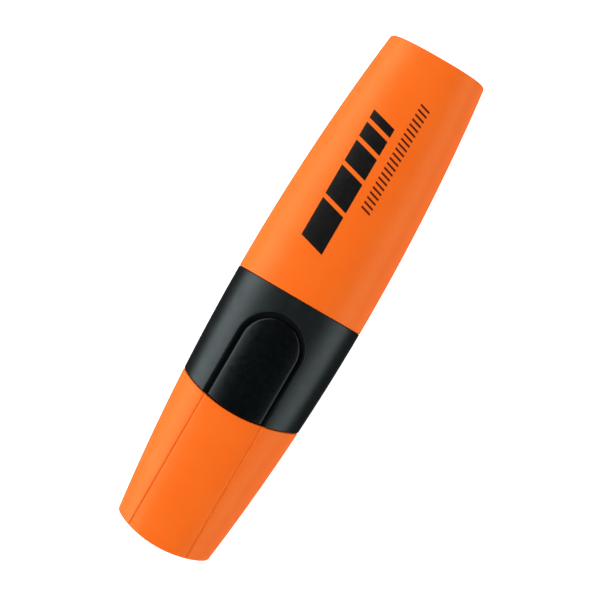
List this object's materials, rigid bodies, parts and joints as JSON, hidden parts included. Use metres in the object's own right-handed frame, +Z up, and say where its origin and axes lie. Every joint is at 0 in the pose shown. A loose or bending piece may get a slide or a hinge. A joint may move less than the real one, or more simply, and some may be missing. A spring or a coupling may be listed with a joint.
{
  "type": "flat capped highlighter",
  "caption": "Flat oval highlighter with a black grip, cushioned thumb pads on both faces, a chisel nib and a cap that pulls straight off.",
  "frame": {"origin": "middle of the bounding box's bottom face, on the surface that the pen lies on with its back face down", "axes": "+X along the pen towards the cap, the way the cap pulls off; +Y across the pen; +Z up out of the front face"},
  "size_m": [0.113, 0.0282, 0.017],
  "materials": {
    "orange_shell": "satin moulded polypropylene",
    "black_moulding": "satin moulded polypropylene",
    "pad_inlay": "fine matt grain",
    "nib_fibre": "bonded polyester fibre soaked with ink",
    "inked_filler": "polyester fibre filler soaked with ink",
    "clear_film": "thin clear film",
    "natural_liner": "natural translucent polypropylene"
  },
  "bodies": {
    "pen_body": {"barrel": "orange_shell", "front_section": "black_moulding", "thumb_pad_top": "pad_inlay", "thumb_pad_bottom": "pad_inlay", "nib": "nib_fibre", "ink_reservoir": "inked_filler", "reservoir_film": "clear_film"},
    "cap_body": {"cap": "orange_shell", "cap_liner": "natural_liner"}
  },
  "joints": [
    {"name": "cap_pull", "type": "slide", "parent": "pen_body", "child": "cap_body", "axis": [1, 0, 0], "range_m": [0, 0.045]}
  ]
}
